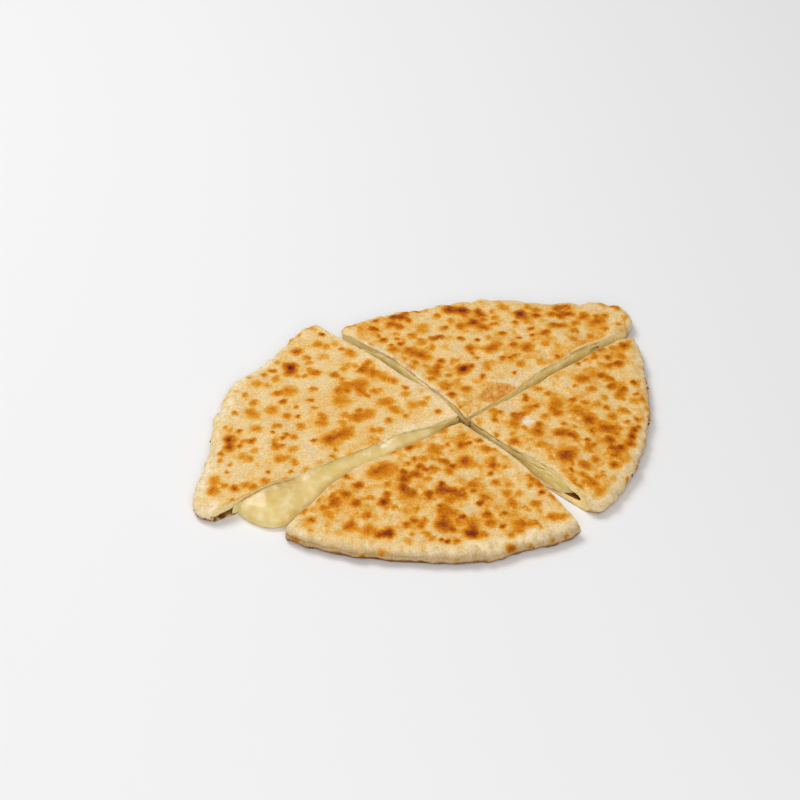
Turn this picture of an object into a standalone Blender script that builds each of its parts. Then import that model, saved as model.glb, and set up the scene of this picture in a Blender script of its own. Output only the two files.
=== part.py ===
"""A cheese gozleme, cut in four quarters that still lie as one round.

Each quarter is a flat pocket: a thin sheet of dough that turns round the outer rim, so that its top
and its underside are one piece, open along the two knife cuts. Melted cheese fills the pocket and
shows at the cuts. At the left quarter the cheese has run out of the front cut down to the floor.

Units are metres and +Z is up. Lengths below are in millimetres, seen from above, and a plan is
measured from the point where the two cuts cross. The finished part stands on z = 0, with its origin
under the middle of its box.
"""
import math
from collections import namedtuple

import bpy
import numpy as np

MM = 0.001

# The sheet of dough
SHEET = 2.4                 # thickness of the top sheet and of the underside
MIDDLE_HEIGHT = 11.8        # top of a quarter, well inside its rim
RIM_HEIGHT = 9.4            # top where the rim starts to turn down
RISE = 30.0                 # the top climbs from the rim to its full height over this width
RIM_TURN = 8.0              # width of the rim's upper curve
RIM_TUCK = 3.0              # width of its lower curve, back under the quarter
RIM_BELLY = 4.2             # height at which the rim stands out furthest
RIM_WAVE = 0.7              # uneven outline of the rim
TOP_WAVE = 0.6              # gentle humps of the top sheet

# The pocket and its filling
POCKET_TURN = 3.0           # rounding of the pocket's inner end
CLEARANCE = 0.3             # between the cheese and the dough round it
CUT_SWELL = 0.4             # the cheese swells this far out of a cut

# The cheese that has run out of the left quarter's front cut
RUN_NARROW = 6.0            # how far it reaches from the cut where the next quarter is near
RUN_WIDE = 19.0             # and where the gap has opened
RUN_LIP = 1.8               # height of its rounded toe
RUN_UNDERCUT = 1.0          # the toe stands on the floor this far back
RUN_STARTS = (0.02, 0.20)   # shares of the way along the cut's cheese where it comes out,
RUN_OPENS = (0.52, 0.86)    # where it widens,
RUN_ENDS = (0.88, 1.00)     # and where it falls back
RUN_FLARE = 0.6             # its outer end also spreads sideways, by this share of its reach,
FLARE_OPENS = (0.70, 0.92)  # and the shares where that begins and is complete
SHEET_SAG = 2.6             # the top sheet bends down over it
SAG_WIDTH = 14.0
SAG_STARTS = (0.15, 0.40)   # along the cut
SAG_ENDS = (0.60, 0.78)

CELLS = 14                  # mesh cells along each cut
RIM_ROWS = 3                # mesh rows in each half of a rim
CHEESE_ROWS = 2             # mesh rows down the side of the cheese
RUN_ROWS = 6                # the same on the left quarter, where it runs out,
SLOPE_ROWS = 3              # and those of them on the upper slope of the run

Plan = namedtuple("Plan", "first_cut rim second_cut inset phase")
Layer = namedtuple("Layer", "top rim first_base second_base")

# Plans run anticlockwise: out along the first cut, then round the rim. The second cut runs out too.
# The inset is the solid folded dough between the pocket and the outline of the rim.
PLANS = {
    "left": Plan(
        first_cut=[(-1, 3), (-13, 18), (-34, 38), (-77.5, 80.5)],
        rim=[(-77.5, 80.5), (-82, 78), (-88, 69.5), (-94, 59), (-102, 48.5), (-110, 40.5),
             (-120, 29), (-126, 4), (-130, -28), (-135, -52), (-133, -62), (-126, -66)],
        second_cut=[(-1, 3), (-36, -17), (-126, -66)],
        inset=4.0,
        phase=0.4),
    "back": Plan(
        first_cut=[(2.5, 4.5), (36, 33), (88, 75)],
        rim=[(88, 75), (91, 84), (80, 97), (49, 99), (11, 101), (-20, 94), (-47, 85), (-60, 80),
             (-62, 74)],
        second_cut=[(2.5, 4.5), (-31, 43), (-62, 74)],
        inset=10.0,
        phase=2.1),
    "right": Plan(
        first_cut=[(5, 0.5), (42, -38), (64, -59)],
        rim=[(64, -59), (70, -60), (76, -53), (84, -40), (93, -16), (97, 14), (96, 45), (93, 68),
             (89, 71)],
        second_cut=[(5, 0.5), (41, 29.5), (89, 71)],
        inset=10.0,
        phase=3.7),
    "front": Plan(
        first_cut=[(0, -3), (-36, -26), (-56, -39), (-87, -75)],
        rim=[(-87, -75), (-86, -80), (-62, -90), (-31, -95.5), (8, -96), (29, -88.5), (52, -80),
             (59, -75)],
        second_cut=[(0, -3), (25, -27), (59, -75)],
        inset=10.0,
        phase=5.2),
}


def smooth(t, start=0.0, end=1.0):
    """Ease from 0 to 1 as t goes from start to end."""
    t = np.clip((t - start) / (end - start), 0.0, 1.0)
    return t * t * (3.0 - 2.0 * t)


def even_points(line, cells):
    """The same line, with cells + 1 points at even distances."""
    steps = np.linalg.norm(np.diff(line, axis=0), axis=1)
    reached = np.concatenate([[0.0], np.cumsum(steps)])
    wanted = np.linspace(0.0, reached[-1], cells + 1)
    return np.stack([np.interp(wanted, reached, line[:, axis]) for axis in (0, 1)], axis=1)


def curve_through(points, cells):
    """A smooth Catmull-Rom curve through the points, cut into even cells."""
    points = np.array(points, dtype=float)
    padded = np.vstack([2 * points[0] - points[1], points, 2 * points[-1] - points[-2]])
    t = np.linspace(0.0, 1.0, 24, endpoint=False)[:, None]
    pieces = []
    for a, b, c, d in zip(padded, padded[1:], padded[2:], padded[3:]):
        pieces.append(0.5 * (2 * b + (c - a) * t + (2 * a - 5 * b + 4 * c - d) * t ** 2
                             + (3 * b - a - 3 * c + d) * t ** 3))
    return even_points(np.vstack(pieces + [points[-1:]]), cells)


def right_of(line):
    """Unit vectors to the right of each point of a line."""
    along = np.gradient(line, axis=0)
    along /= np.linalg.norm(along, axis=1, keepdims=True)
    return np.stack([along[:, 1], -along[:, 0]], axis=1)


def rim_line(plan, cells):
    """The rim's outline where it stands out furthest, with its small waves."""
    line = curve_through(plan.rim, 2 * cells)
    along = np.linspace(0.0, 1.0, len(line))
    waves = np.sin(37.0 * along + plan.phase) + 0.6 * np.sin(61.0 * along + 2.0 * plan.phase)
    return line + right_of(line) * (RIM_WAVE * waves * np.sin(math.pi * along))[:, None]


def inset_rim(plan, inset):
    """The rim's outline moved inwards; its two ends slide along the cuts."""
    line = rim_line(plan, CELLS)
    inwards = -right_of(line)
    share = np.linspace(0.0, 1.0, len(line))
    moved = inwards.copy()
    for end, cut in ((0, plan.first_cut), (-1, plan.second_cut)):
        back = np.subtract(cut[-2], cut[-1])
        back = back / np.linalg.norm(back)
        slide = back / np.dot(back, inwards[end])
        near_end = 1.0 - smooth(np.abs(share - share[end]), 0.0, 0.16)
        moved += (slide - inwards) * near_end[:, None]
    return line + moved * inset


def cut_line(cut, end):
    """A cut's curve from its inner point out to end, which lies on the curve or very near it."""
    line = curve_through(cut, 8 * CELLS)
    nearest = np.argmin(np.linalg.norm(line - end, axis=1))
    return even_points(np.vstack([line[:nearest], end]), CELLS)


def plan_grid(plan, inset):
    """Points over a quarter between its cuts and its inset rim, blended from its four sides."""
    rim = inset_rim(plan, inset)
    first = cut_line(plan.first_cut, rim[0])
    second = cut_line(plan.second_cut, rim[-1])
    u = np.linspace(0.0, 1.0, CELLS + 1)[:, None, None]
    v = np.linspace(0.0, 1.0, CELLS + 1)[None, :, None]
    sides = ((1 - v) * first[:, None] + v * rim[CELLS:][::-1, None]
             + (1 - u) * second[None] + u * rim[None, :CELLS + 1])
    corners = ((1 - u) * (1 - v) * first[0] + u * (1 - v) * first[-1]
               + (1 - u) * v * second[-1] + u * v * rim[CELLS])
    return sides - corners


def ring_of(grid):
    """The outer edge of a grid, from the first cut round to the second."""
    return np.concatenate([grid[-1, :], grid[-2::-1, -1]])


def border_of(grid):
    """The whole edge of a grid: out along the first cut, round, and back along the second."""
    return np.concatenate([grid[:-1, 0], grid[-1, :-1], grid[:0:-1, -1], grid[0, :0:-1]])


def sag_over_run(plan, points):
    """How far the left quarter's top sheet bends down along its front cut."""
    cells = 60
    cut = curve_through(plan.second_cut, cells)
    gaps = np.linalg.norm(points[..., None, :] - cut, axis=-1)
    share = gaps.argmin(axis=-1) / cells
    along = smooth(share, *SAG_STARTS) * (1.0 - smooth(share, *SAG_ENDS))
    return SHEET_SAG * along * (1.0 - smooth(gaps.min(axis=-1), 0.0, SAG_WIDTH))


def top_height(plan, points):
    """Height of the top sheet's upper side over points of the plan."""
    rim = rim_line(plan, 3 * CELLS)
    from_rim = np.linalg.norm(points[..., None, :] - rim, axis=-1).min(axis=-1)
    rise = smooth(from_rim, RIM_TURN, RIM_TURN + RISE)
    x, y = points[..., 0], points[..., 1]
    humps = np.sin(0.11 * x + plan.phase) * np.cos(0.13 * y + 2.0 * plan.phase)
    humps += 0.5 * np.sin(0.17 * (x + y) + 3.0 * plan.phase)
    height = RIM_HEIGHT + (MIDDLE_HEIGHT - RIM_HEIGHT) * rise + TOP_WAVE * humps * (0.4 + 0.6 * rise)
    if plan is PLANS["left"]:
        height -= sag_over_run(plan, points)
    return height


class Shell:
    """Points and faces of one solid, filled row by row."""

    def __init__(self):
        self.points = []
        self.faces = []

    def add(self, plan_points, heights):
        """Store points and return their numbers in the same arrangement."""
        heights = np.broadcast_to(heights, plan_points.shape[:-1])
        first = len(self.points)
        self.points += [(x, y, z) for (x, y), z in zip(plan_points.reshape(-1, 2), heights.ravel())]
        return np.arange(first, len(self.points)).reshape(heights.shape)

    def face(self, corners, flip=False):
        """One face. Flipping keeps its first corner, so that a folded four-sided face that is
        copied inside out is split along the same diagonal."""
        corners = [int(c) for c in corners]
        self.faces.append([corners[0], *corners[:0:-1]] if flip else corners)

    def band(self, lower, upper, flip=False):
        """Four-sided faces between two rows of points."""
        for k in range(len(lower) - 1):
            self.face((lower[k], lower[k + 1], upper[k + 1], upper[k]), flip)

    def sheet(self, grid, flip=False):
        """Four-sided faces over a grid of points, facing up."""
        for near, far in zip(grid, grid[1:]):
            self.band(near, far, not flip)


def pillow(shell, plan, inset, turn, tuck, lift, drop, belly, inside_out=False):
    """Top, rim and flat underside of a rounded layer that is open along both cuts.

    It lies from lift above the floor to drop below the quarter's top. Its rim stands out
    furthest at the height belly, with an upper curve turn wide and a lower one tuck wide.
    """
    top_plan = plan_grid(plan, inset + turn)
    top_z = top_height(plan, top_plan) - drop
    top = shell.add(top_plan, top_z)
    shell.sheet(top, inside_out)

    edge_z = ring_of(top_z)
    rim = [ring_of(top)]
    for step in range(1, RIM_ROWS + 1):
        angle = 0.5 * math.pi * step / RIM_ROWS
        line = inset_rim(plan, inset + turn * (1.0 - math.sin(angle)))
        rim.append(shell.add(line, belly + (edge_z - belly) * math.cos(angle)))
    for step in range(1, RIM_ROWS):
        angle = 0.5 * math.pi * step / RIM_ROWS
        line = inset_rim(plan, inset + tuck * (1.0 - math.cos(angle)))
        rim.append(shell.add(line, belly - (belly - lift) * math.sin(angle)))
    base_plan = plan_grid(plan, inset + tuck)
    rim.append(shell.add(ring_of(base_plan), lift))
    for above, below in zip(rim, rim[1:]):
        shell.band(below, above, inside_out)

    first_base = [*shell.add(base_plan[:-1, 0], lift), rim[-1][0]]
    second_base = [first_base[0], *shell.add(base_plan[0, 1:-1], lift), rim[-1][-1]]
    underside = [*first_base[:-1], *rim[-1], *second_base[-2:0:-1]]
    shell.face(underside[::-1], inside_out)
    return Layer(top, rim, first_base, second_base)


def open_edge(layer):
    """The layer's edge at the cuts as one closed row: out along the first cut's top, down the
    rim, back under, out along the second cut's underside, up the rim and back on top."""
    down_first = [row[0] for row in layer.rim[1:-1]]
    up_second = [row[-1] for row in layer.rim[-2:0:-1]]
    return [*layer.top[:, 0], *down_first, *layer.first_base[::-1],
            *layer.second_base[1:], *up_second, *layer.top[0, ::-1]]


def dough_shell(plan):
    """The folded sheet of one quarter: a rounded outside, a pocket, and the cut edges."""
    shell = Shell()
    outside = pillow(shell, plan, inset=0.0, turn=RIM_TURN, tuck=RIM_TUCK,
                     lift=0.0, drop=0.0, belly=RIM_BELLY)
    pocket = pillow(shell, plan, inset=plan.inset, turn=POCKET_TURN, tuck=POCKET_TURN,
                    lift=SHEET, drop=SHEET, belly=0.5 * RIM_HEIGHT, inside_out=True)
    shell.band(open_edge(pocket), open_edge(outside))
    return shell


def run_row(level, toe, top_z):
    """Reach and height of the run cheese at one row: a rounded slope, a toe, and the floor."""
    if level <= SLOPE_ROWS:
        angle = 0.5 * math.pi * level / SLOPE_ROWS
        return toe * math.sin(angle), RUN_LIP + (top_z - RUN_LIP) * math.cos(angle)
    on_floor = toe - RUN_UNDERCUT if level == SLOPE_ROWS + 1 else CLEARANCE
    return on_floor, 0.0


def cheese_shell(plan):
    """The cheese of one quarter: it fills the pocket except for the pocket's outermost cells."""
    shell = Shell()
    gap = SHEET + CLEARANCE
    grid = plan_grid(plan, plan.inset + POCKET_TURN)[:-1, :-1]
    top_z = top_height(plan, grid) - gap
    top = shell.add(grid, top_z)
    shell.sheet(top)

    away = np.zeros_like(grid)
    away[:, 0] = right_of(grid[:, 0])
    away[0, :] = -right_of(grid[0, :])
    run = np.zeros_like(top_z)
    along = np.linspace(0.0, 1.0, len(grid))
    toe = np.zeros_like(top_z) + RUN_NARROW + (RUN_WIDE - RUN_NARROW) * smooth(along, *RUN_OPENS)
    levels = CHEESE_ROWS
    if plan is PLANS["left"]:
        levels = RUN_ROWS
        run[0, :] = smooth(along, *RUN_STARTS) * (1.0 - smooth(along, *RUN_ENDS))
        outwards = np.gradient(grid[0, :], axis=0)
        outwards /= np.linalg.norm(outwards, axis=1, keepdims=True)
        away[0, :] += outwards * (RUN_FLARE * smooth(along, *FLARE_OPENS))[:, None]

    line, away, run, toe, upper = map(border_of, (grid, away, run, toe, top_z))
    rows = [border_of(top)]
    for level in range(1, levels):
        share = level / levels
        swell = CUT_SWELL * math.sin(math.pi * share)
        run_reach, run_height = run_row(level, toe, upper)
        reach = swell + (run_reach - swell) * run
        flush_height = upper + (gap - upper) * share
        rows.append(shell.add(line + away * reach[:, None],
                              flush_height + (run_height - flush_height) * run))
    rows.append(shell.add(line, gap))
    for above, below in zip(rows, rows[1:]):
        shell.band([*below, below[0]], [*above, above[0]])
    shell.face(rows[-1][::-1])
    return shell


def material(name, colour, roughness):
    """A plain Principled finish."""
    finish = bpy.data.materials.new(name)
    finish.use_nodes = True
    shader = finish.node_tree.nodes["Principled BSDF"]
    shader.inputs["Base Color"].default_value = (*colour, 1.0)
    shader.inputs["Roughness"].default_value = roughness
    shader.inputs["Metallic"].default_value = 0.0
    return finish


def solid(name, shell, finish, origin):
    """An object from a shell, in metres from the origin."""
    mesh = bpy.data.meshes.new(name)
    mesh.from_pydata((np.array(shell.points) - origin) * MM, [], shell.faces)
    mesh.materials.append(finish)
    mesh.shade_smooth()
    mesh.set_sharp_from_angle(angle=math.radians(40.0))
    bpy.context.collection.objects.link(bpy.data.objects.new(name, mesh))


for old in list(bpy.data.objects):
    bpy.data.objects.remove(old)

toasted_dough = material("toasted_dough", (0.78, 0.57, 0.30), 0.62)
melted_cheese = material("melted_cheese", (0.82, 0.72, 0.38), 0.35)

dough = {quarter: dough_shell(plan) for quarter, plan in PLANS.items()}
cheese = {quarter: cheese_shell(plan) for quarter, plan in PLANS.items()}
everything = np.vstack([shell.points for shell in (*dough.values(), *cheese.values())])
low, high = everything.min(axis=0), everything.max(axis=0)
under_middle = np.array([0.5 * (low[0] + high[0]), 0.5 * (low[1] + high[1]), low[2]])
for quarter in PLANS:
    solid(f"dough_{quarter}", dough[quarter], toasted_dough, under_middle)
    solid(f"cheese_{quarter}", cheese[quarter], melted_cheese, under_middle)
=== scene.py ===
"""A cheese gozleme: a thin sheet of wheat dough folded round melted white cheese, toasted on a dry
griddle and cut in four. The quarters still lie together as one round, on a pale floor.
"""
import math
from collections import namedtuple

import bpy
import numpy as np
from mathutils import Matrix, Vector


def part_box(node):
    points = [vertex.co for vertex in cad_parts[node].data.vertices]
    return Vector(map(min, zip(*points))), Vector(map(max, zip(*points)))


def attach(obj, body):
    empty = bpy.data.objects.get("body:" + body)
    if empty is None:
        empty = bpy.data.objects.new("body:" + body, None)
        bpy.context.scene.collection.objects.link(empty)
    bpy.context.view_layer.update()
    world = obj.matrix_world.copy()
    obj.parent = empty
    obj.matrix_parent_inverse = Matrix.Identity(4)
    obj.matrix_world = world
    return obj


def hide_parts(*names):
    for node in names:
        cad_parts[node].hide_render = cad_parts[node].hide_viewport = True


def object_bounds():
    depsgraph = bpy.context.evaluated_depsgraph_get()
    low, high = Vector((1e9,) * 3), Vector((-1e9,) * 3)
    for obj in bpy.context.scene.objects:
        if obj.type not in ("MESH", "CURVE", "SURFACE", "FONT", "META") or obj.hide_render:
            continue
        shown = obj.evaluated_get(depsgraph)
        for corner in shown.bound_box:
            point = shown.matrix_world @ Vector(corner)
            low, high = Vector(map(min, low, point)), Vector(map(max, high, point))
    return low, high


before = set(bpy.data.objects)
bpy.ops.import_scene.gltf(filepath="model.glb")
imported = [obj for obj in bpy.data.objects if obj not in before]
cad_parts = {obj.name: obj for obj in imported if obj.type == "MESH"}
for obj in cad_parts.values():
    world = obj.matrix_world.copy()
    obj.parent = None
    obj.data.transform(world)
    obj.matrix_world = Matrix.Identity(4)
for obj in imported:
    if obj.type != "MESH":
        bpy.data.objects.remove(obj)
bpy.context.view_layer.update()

# ---- The folded dough --------------------------------------------------------------------------
# Each quarter is one sheet of wheat dough, about 2.5 mm thick, folded round the filling: its rim is
# closed and it is open along the two knife cuts. It was toasted dry, which raised small blisters
# that browned first. Shapes are drawn in millimetres from the point where the two cuts cross.
MM = 0.001
SHEET = 2.4                 # thickness of the top sheet and of the underside
MIDDLE_HEIGHT = 11.8        # top of a quarter, well inside its rim
RIM_HEIGHT = 9.4            # top where the rim starts to turn down
RISE = 30.0                 # the top climbs from the rim to its full height over this width
RIM_TURN = 8.0              # width of the rim's upper curve
RIM_TUCK = 3.0              # width of its lower curve, back under the quarter
RIM_BELLY = 4.2             # height at which the rim stands out furthest
RIM_WAVE = 0.3              # uneven outline of the rim
TOP_WAVE = 0.6              # gentle humps of the top sheet
POCKET_TURN = 3.0           # rounding of the pocket's inner end
PINCH_WIDTH = 22.0          # the pocket narrows towards its end over this width
EDGE_ROUND = 1.1            # the knife pressed the top sheet's edge round
THIN_SHEET = 0.9            # the left quarter's top sheet, drawn out over the run cheese
THIN_WIDTH = 9.0
THIN_ENDS = (0.70, 0.84)    # shares of the way along the cut
LINE_CELLS = 180            # cells of a curve where distances are measured from it
CUT_CELLS = 300             # and of a cut, where only the distance matters
AT_ONCE = 8000              # points whose distances are measured together, to save memory
RIM_POINTS = 720            # points along the rim's outline before it is shared out
BULGE_REACH = 30            # points to either side that say how much the rim bulges at a point
CORNER_RANGE = 0.14         # share of the way to either side of its middle where it may bulge most
SLIDE_SHARE = 0.16          # share of an inset rim, at each end, that bends to meet the cut
GRID_EASING = 80            # rounds of smoothing that unfold a grid at its outer corner
RIM_ROWS = 14               # mesh rows in each half of a rim
CUT_ROWS = 14               # mesh rows across the thickness of a cut edge
UNDER_STEP = 3              # the underside's cells are this many times the size of the top's
POCKET_STEP = 6             # and so are the pocket's

Plan = namedtuple("Plan", "first_cut rim second_cut inset pinch hollow phase cells browning "
                          "layering sag marks")

# Plans run anticlockwise: out along the first cut, then round the rim. The second cut runs out too.
# The inset is the solid folded dough at the rim. The pinch lifts the pocket's floor and lowers its
# roof where it ends. Layering is how much the thin layers show at each cut. The sag bends the top
# sheet down along one cut: which, how deep, how wide, and the shares of the way where it comes and
# goes. A mark is a toasted blister: its place, radius and how dark its middle is.
# The pocket shade is painted shade on the pocket's inside, where it shows in the open gaps at the
# cuts.
PLANS = {
    "left": Plan(
        first_cut=[(-1, 3), (-12, 19), (-34, 38.5), (-77.5, 80.5)],
        rim=[(-77.5, 80.5), (-82, 78), (-88, 69.5), (-94, 59), (-102, 48.5), (-110, 40.5),
             (-120, 29), (-126, 4), (-130, -28), (-135, -52), (-133, -62), (-126, -66)],
        second_cut=[(-1, 3), (-37, -15.5), (-70, -33), (-126, -66)],
        inset=4.0, pinch=(-1.3, 3.0), hollow=0.5, phase=0.4, cells=216, browning=0.25,
        layering=(0.4, 0.0), sag=("second_cut", 2.6, 14.0, (0.15, 0.40), (0.60, 0.78)),
        marks=[(-88, 43, 4.2, 0.95), (-88, 38, 3.5, 0.7), (-56, 52, 4.5, 0.7),
               (-52, 27, 4.5, 0.62), (-45, 35, 4, 0.6), (-51, 21, 3, 0.55), (-59, 26, 3, 0.5),
               (-44, 22, 3, 0.55), (-34, 30, 3.4, 0.6), (-65, 34, 2.6, 0.65), (-85, 55, 3.2, 0.68),
               (-77, 75, 3.4, 0.4), (-72, 69, 2.2, 0.95), (-64, 61, 3, 0.5), (-74, 61, 3, 0.5),
               (-78, 45, 2.4, 0.45), (-118, -13, 3.8, 0.9), (-118, -19, 3.6, 0.8),
               (-124, -45, 3.6, 0.5), (-125, -52, 3.8, 0.6), (-114, -51, 2.8, 0.8),
               (-108, -49, 3, 0.5), (-98, -48, 3, 0.45), (-85, -14, 2.8, 0.6),
               (-85, -24, 2.8, 0.5), (-92, -30, 3.4, 0.6), (-64, -14, 5, 0.62),
               (-58, -11, 4.4, 0.6), (-68, -16, 3.4, 0.5), (-71, -3, 3.4, 0.55),
               (-71, 2, 2.6, 0.5), (-61, 14, 5, 0.42), (-53, 1, 4, 0.55), (-47, 4, 4, 0.5),
               (-82, -5, 2.8, 0.5), (-104, -7, 3, 0.45), (-94, -6, 2.4, 0.5), (-106, 4, 3.6, 0.5),
               (-97, 8, 3.6, 0.6), (-106, 15, 2.8, 0.62), (-105, 30, 2.6, 0.4),
               (-88, 22, 4.6, 0.45), (-38, 13, 4, 0.5), (-33, 7, 3.6, 0.5), (-25, 11, 3.2, 0.42),
               (-70, -34, 3.4, 0.34), (-65, -33, 3.4, 0.34), (-56, -26, 3.2, 0.32),
               (-51, -24, 3, 0.32), (-44, -16, 4, 0.34), (-88, -45, 3, 0.42)]),
    "back": Plan(
        first_cut=[(3, 3.8), (19, 17.6), (36, 33.0), (56, 50.2), (88, 75.4)],
        rim=[(88, 75.4), (91.5, 86), (83, 97.5), (49, 99), (11, 101), (-20, 94), (-47, 85),
             (-60, 80), (-62, 74)],
        second_cut=[(3, 3.8), (-31, 43), (-62, 74)],
        inset=10.0, pinch=(1.6, 2.5), hollow=0.0, phase=2.1, cells=192, browning=0.45,
        layering=(0.2, 0.5), sag=("first_cut", 2.2, 12.0, (-0.02, 0.0), (0.30, 0.48)),
        marks=[(-5, 89, 4.2, 0.85), (1, 88, 3.8, 0.85), (12, 85, 2.8, 0.65), (7, 77, 3.8, 0.9),
               (1, 74, 3.4, 0.7), (12, 73, 3.6, 0.6), (32, 85, 3.8, 0.9), (52, 91, 3, 0.65),
               (54, 85, 3, 0.6), (49, 74, 3.6, 0.6), (54, 76, 3, 0.5), (66, 84, 3.6, 0.62),
               (71, 79, 3, 0.5), (75, 80, 3, 0.5), (41, 90, 3, 0.5), (23, 91, 3, 0.5),
               (2, 39, 4.2, 0.98), (-13, 37, 3.6, 0.5), (16, 55, 3.8, 0.68), (35, 56, 3.8, 0.62),
               (20, 59, 3, 0.5), (-14, 63, 2.4, 0.68), (-25, 67, 3, 0.52), (-19, 75, 3, 0.5),
               (-34, 83, 2.6, 0.8), (-30, 83, 2.6, 0.7), (-23, 90, 2.8, 0.8), (-18, 91, 2.8, 0.7),
               (-26, 54, 4, 0.5), (-21, 51, 4.2, 0.55), (-17, 48, 3.4, 0.5), (-8, 26, 3.8, 0.52),
               (3, 23, 3, 0.5), (20, 24, 6, 0.42), (15, 19, 4, 0.46), (25, 26, 4, 0.3)]),
    "right": Plan(
        first_cut=[(5, 0.5), (42, -38), (64, -59)],
        rim=[(64, -59), (70, -60), (76, -53), (84, -40), (93, -16), (97, 14), (96, 45), (93, 68),
             (89, 70.6)],
        second_cut=[(5, 0.5), (41, 29.0), (64, 48.6), (89, 70.6)],
        inset=4.0, pinch=(0.9, 2.0), hollow=1.0, phase=3.7, cells=174, browning=0.44,
        layering=(1.0, 0.3), sag=None,
        marks=[(63, 31, 4.2, 0.68), (68, 23, 2.8, 0.5), (39, -10, 4, 0.72), (51, -10, 4, 0.7),
               (59, 6, 4.4, 0.62), (66, 1, 4.4, 0.68), (73, -4, 4.2, 0.66), (78, -6, 3.4, 0.55),
               (52, -29, 5.4, 0.82), (56, -24, 4, 0.6), (62, -34, 3.4, 0.65), (61, -42, 3.2, 0.55),
               (88.5, -6, 2.8, 0.8), (87.5, -11, 2.8, 0.85), (85.5, -16, 3, 0.8),
               (81, -20, 3, 0.7), (78, -25, 3.2, 0.65), (77, -33, 3, 0.7), (65, -47, 3.8, 0.66),
               (70, -52, 3.4, 0.6), (86, 60, 3.4, 0.7), (84, 52, 3, 0.55), (83, 45, 3, 0.62),
               (43, 2, 3, 0.5), (49, 12, 4, 0.5), (35, 8, 3.6, 0.42), (26, -4, 4, 0.45),
               (82, 20, 3.2, 0.55), (84, 8, 3, 0.5), (70, 12, 2.8, 0.45), (40, -20, 3, 0.4)]),
    "front": Plan(
        first_cut=[(0, -3), (-36, -26), (-56, -39), (-87, -75)],
        rim=[(-87, -75), (-86, -80), (-62, -90), (-31, -95.5), (8, -96), (29, -88.5), (52, -80),
             (59, -75)],
        second_cut=[(0, -3), (25, -27), (59, -75)],
        inset=10.0, pinch=(1.6, 2.5), hollow=0.0, phase=5.2, cells=192, browning=0.445,
        layering=(0.5, 0.5), sag=None,
        marks=[(5, -83, 4.6, 1.0), (-10, -77, 4.6, 0.82), (-36, -84, 3.4, 0.92),
               (-41, -84, 3, 0.8), (-46, -80, 3.6, 0.6), (-39, -62, 3.8, 0.95),
               (-29, -45, 3.8, 0.85), (-23, -42, 3.2, 0.85), (-38, -38, 5.4, 0.55),
               (-44, -42, 4.8, 0.5), (-10, -54, 3.8, 0.78), (-5, -55, 3.4, 0.7),
               (-16, -60, 2.8, 0.7), (0, -58, 3.2, 0.62), (2, -32, 4.6, 0.8), (-13, -23, 4, 0.6),
               (0, -20, 2.6, 0.82), (16, -36, 3.2, 0.66), (17, -48, 2.8, 0.6),
               (25, -62, 3.2, 0.62), (12, -23, 3, 0.62), (-58, -57, 2.8, 0.66),
               (-52, -50, 2.8, 0.7), (-63, -62, 2.8, 0.6), (5, -76, 3.6, 0.6), (50, -71, 3, 0.66),
               (45, -70, 2.8, 0.6), (-9, -68, 3.8, 0.55), (-26, -56, 4, 0.6), (-17, -56, 3, 0.66),
               (37, -62, 3, 0.5), (30, -76, 3.4, 0.5), (-66, -70, 3, 0.5), (-56, -78, 3.4, 0.5),
               (22, -55, 3, 0.5)]),
}
# Where a quarter's first cut leans over: the shares of the way where that comes and goes, how far
# its top edge is set back, and how far in the sheet gives way.
LEANING = {"right": ((0.30, 0.62), (0.88, 1.0), 3.6, 16.0)}
MARKS_PER_CM2 = {"left": 1.5, "back": 1.8, "right": 1.8, "front": 1.9}  # besides those above
MARK_SIZES = (1.4, 2.9)
MARK_DARKNESS = (0.35, 0.78)


def smooth(t, start, end):
    """Ease from 0 to 1 as t goes from start to end."""
    t = np.clip((t - start) / (end - start), 0.0, 1.0)
    return t * t * (3.0 - 2.0 * t)


def fade(t, start, end):
    """Ease from 1 down to 0 as t goes from start to end."""
    return 1.0 - smooth(t, start, end)


def between(t, comes, goes):
    """1 between two ranges of t: easing in over the first and out over the second."""
    return smooth(t, *comes) * fade(t, *goes)


def uneven(points, size, seed):
    """Soft bumps between -1 and 1 over points of two or three axes, about size apart."""
    cell = np.asarray(points, dtype=float) / size + 19.7 * seed
    corner = np.floor(cell).astype(np.int64)
    inside = cell - corner
    inside = inside * inside * (3.0 - 2.0 * inside)
    total = np.zeros(cell.shape[:-1])
    axes = cell.shape[-1]
    for choice in range(2 ** axes):
        step = np.array([choice >> axis & 1 for axis in range(axes)])
        at = corner + step
        mixed = (at * [374761393, 668265263, 2147483647][:axes]).sum(axis=-1) + 1013 * seed
        mixed = (mixed ^ (mixed >> 13)) * 1274126177 & 0xffffffff
        value = ((mixed ^ (mixed >> 16)) & 0xffff) / 32767.5 - 1.0
        total += value * np.where(step, inside, 1.0 - inside).prod(axis=-1)
    return total


def rough(points, *kinds):
    """Soft bumps of several kinds together; each kind has a height, a size and a seed."""
    return sum(height * uneven(points, size, seed) for height, size, seed in kinds)


def jitter(points, size, *seeds):
    """Uneven shifts of the points, along as many axes as there are seeds."""
    return np.stack([uneven(points, size, seed) for seed in seeds], axis=1)


def way_along(line):
    """How far along a line each of its points lies."""
    steps = np.linalg.norm(np.diff(line, axis=0), axis=1)
    return np.concatenate([[0.0], np.cumsum(steps)])


def even_points(line, cells):
    """The same line, with cells + 1 points at even distances."""
    reached = way_along(line)
    wanted = np.linspace(0.0, reached[-1], cells + 1)
    return np.stack([np.interp(wanted, reached, line[:, axis]) for axis in (0, 1)], axis=1)


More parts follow.
